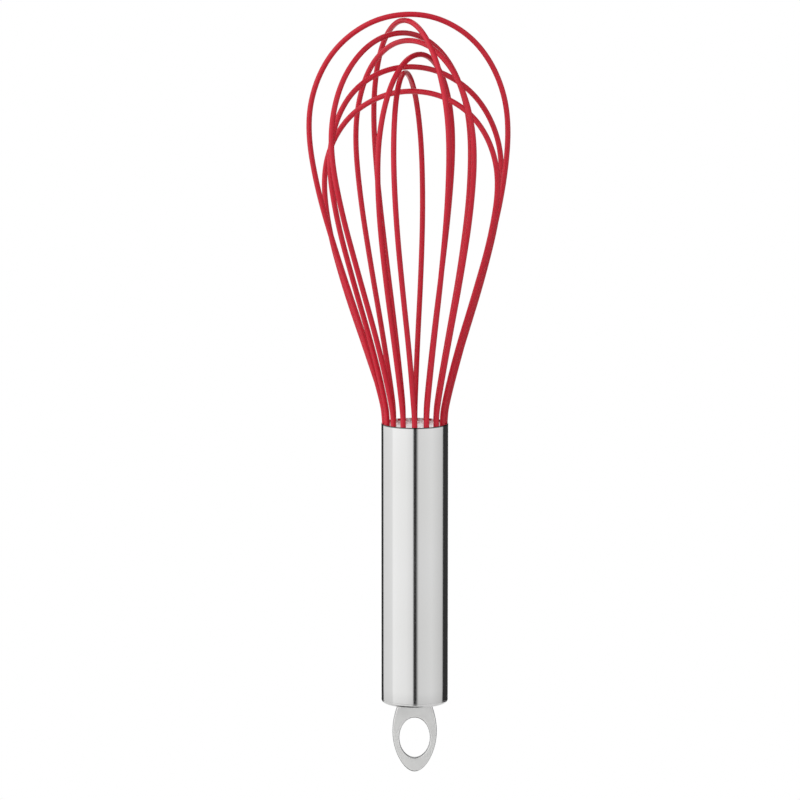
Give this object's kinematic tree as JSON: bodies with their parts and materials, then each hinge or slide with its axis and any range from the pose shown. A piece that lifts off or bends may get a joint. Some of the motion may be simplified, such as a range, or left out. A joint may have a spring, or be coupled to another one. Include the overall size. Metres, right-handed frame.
{
  "type": "balloon whisk",
  "caption": "Balloon whisk: silicone-coated spring wire loops nested into a balloon, set in a satin steel tube handle with a flat hang loop at its end.",
  "frame": {"origin": "on the handle tube's axis, half-way up the tube, which is the middle of the grip", "axes": "+Z along the handle's axis towards the wire balloon, +X across the flat of the hang loop, -Y the face that the hang loop's flat and the front of the balloon show"},
  "size_m": [0.0671, 0.0674, 0.2534],
  "materials": {
    "handle_steel": "satin stainless, brushed round the tube",
    "cap_steel": "satin stainless with a polished rounded edge",
    "loop_steel": "tumbled stainless with rounded edges",
    "weld_metal": "as welded",
    "holder_plastic": "moulded",
    "potting_resin": "cast resin",
    "seal_compound": "smooth poured sealant",
    "spring_steel": "drawn spring wire",
    "red_silicone": "satin crimson silicone"
  },
  "bodies": {
    "root": {"handle_tube": "handle_steel", "end_cap": "cap_steel", "hang_loop": "loop_steel", "loop_welds": "weld_metal", "wire_holder": "holder_plastic", "potting": "potting_resin", "mouth_seal": "seal_compound", "wire_core_1": "spring_steel", "wire_core_2": "spring_steel", "wire_core_3": "spring_steel", "wire_core_4": "spring_steel", "wire_core_5": "spring_steel", "wire_core_6": "spring_steel", "wire_core_7": "spring_steel", "wire_core_8": "spring_steel", "wire_coat_1": "red_silicone", "wire_coat_2": "red_silicone", "wire_coat_3": "red_silicone", "wire_coat_4": "red_silicone", "wire_coat_5": "red_silicone", "wire_coat_6": "red_silicone", "wire_coat_7": "red_silicone", "wire_coat_8": "red_silicone"}
  },
  "joints": []
}
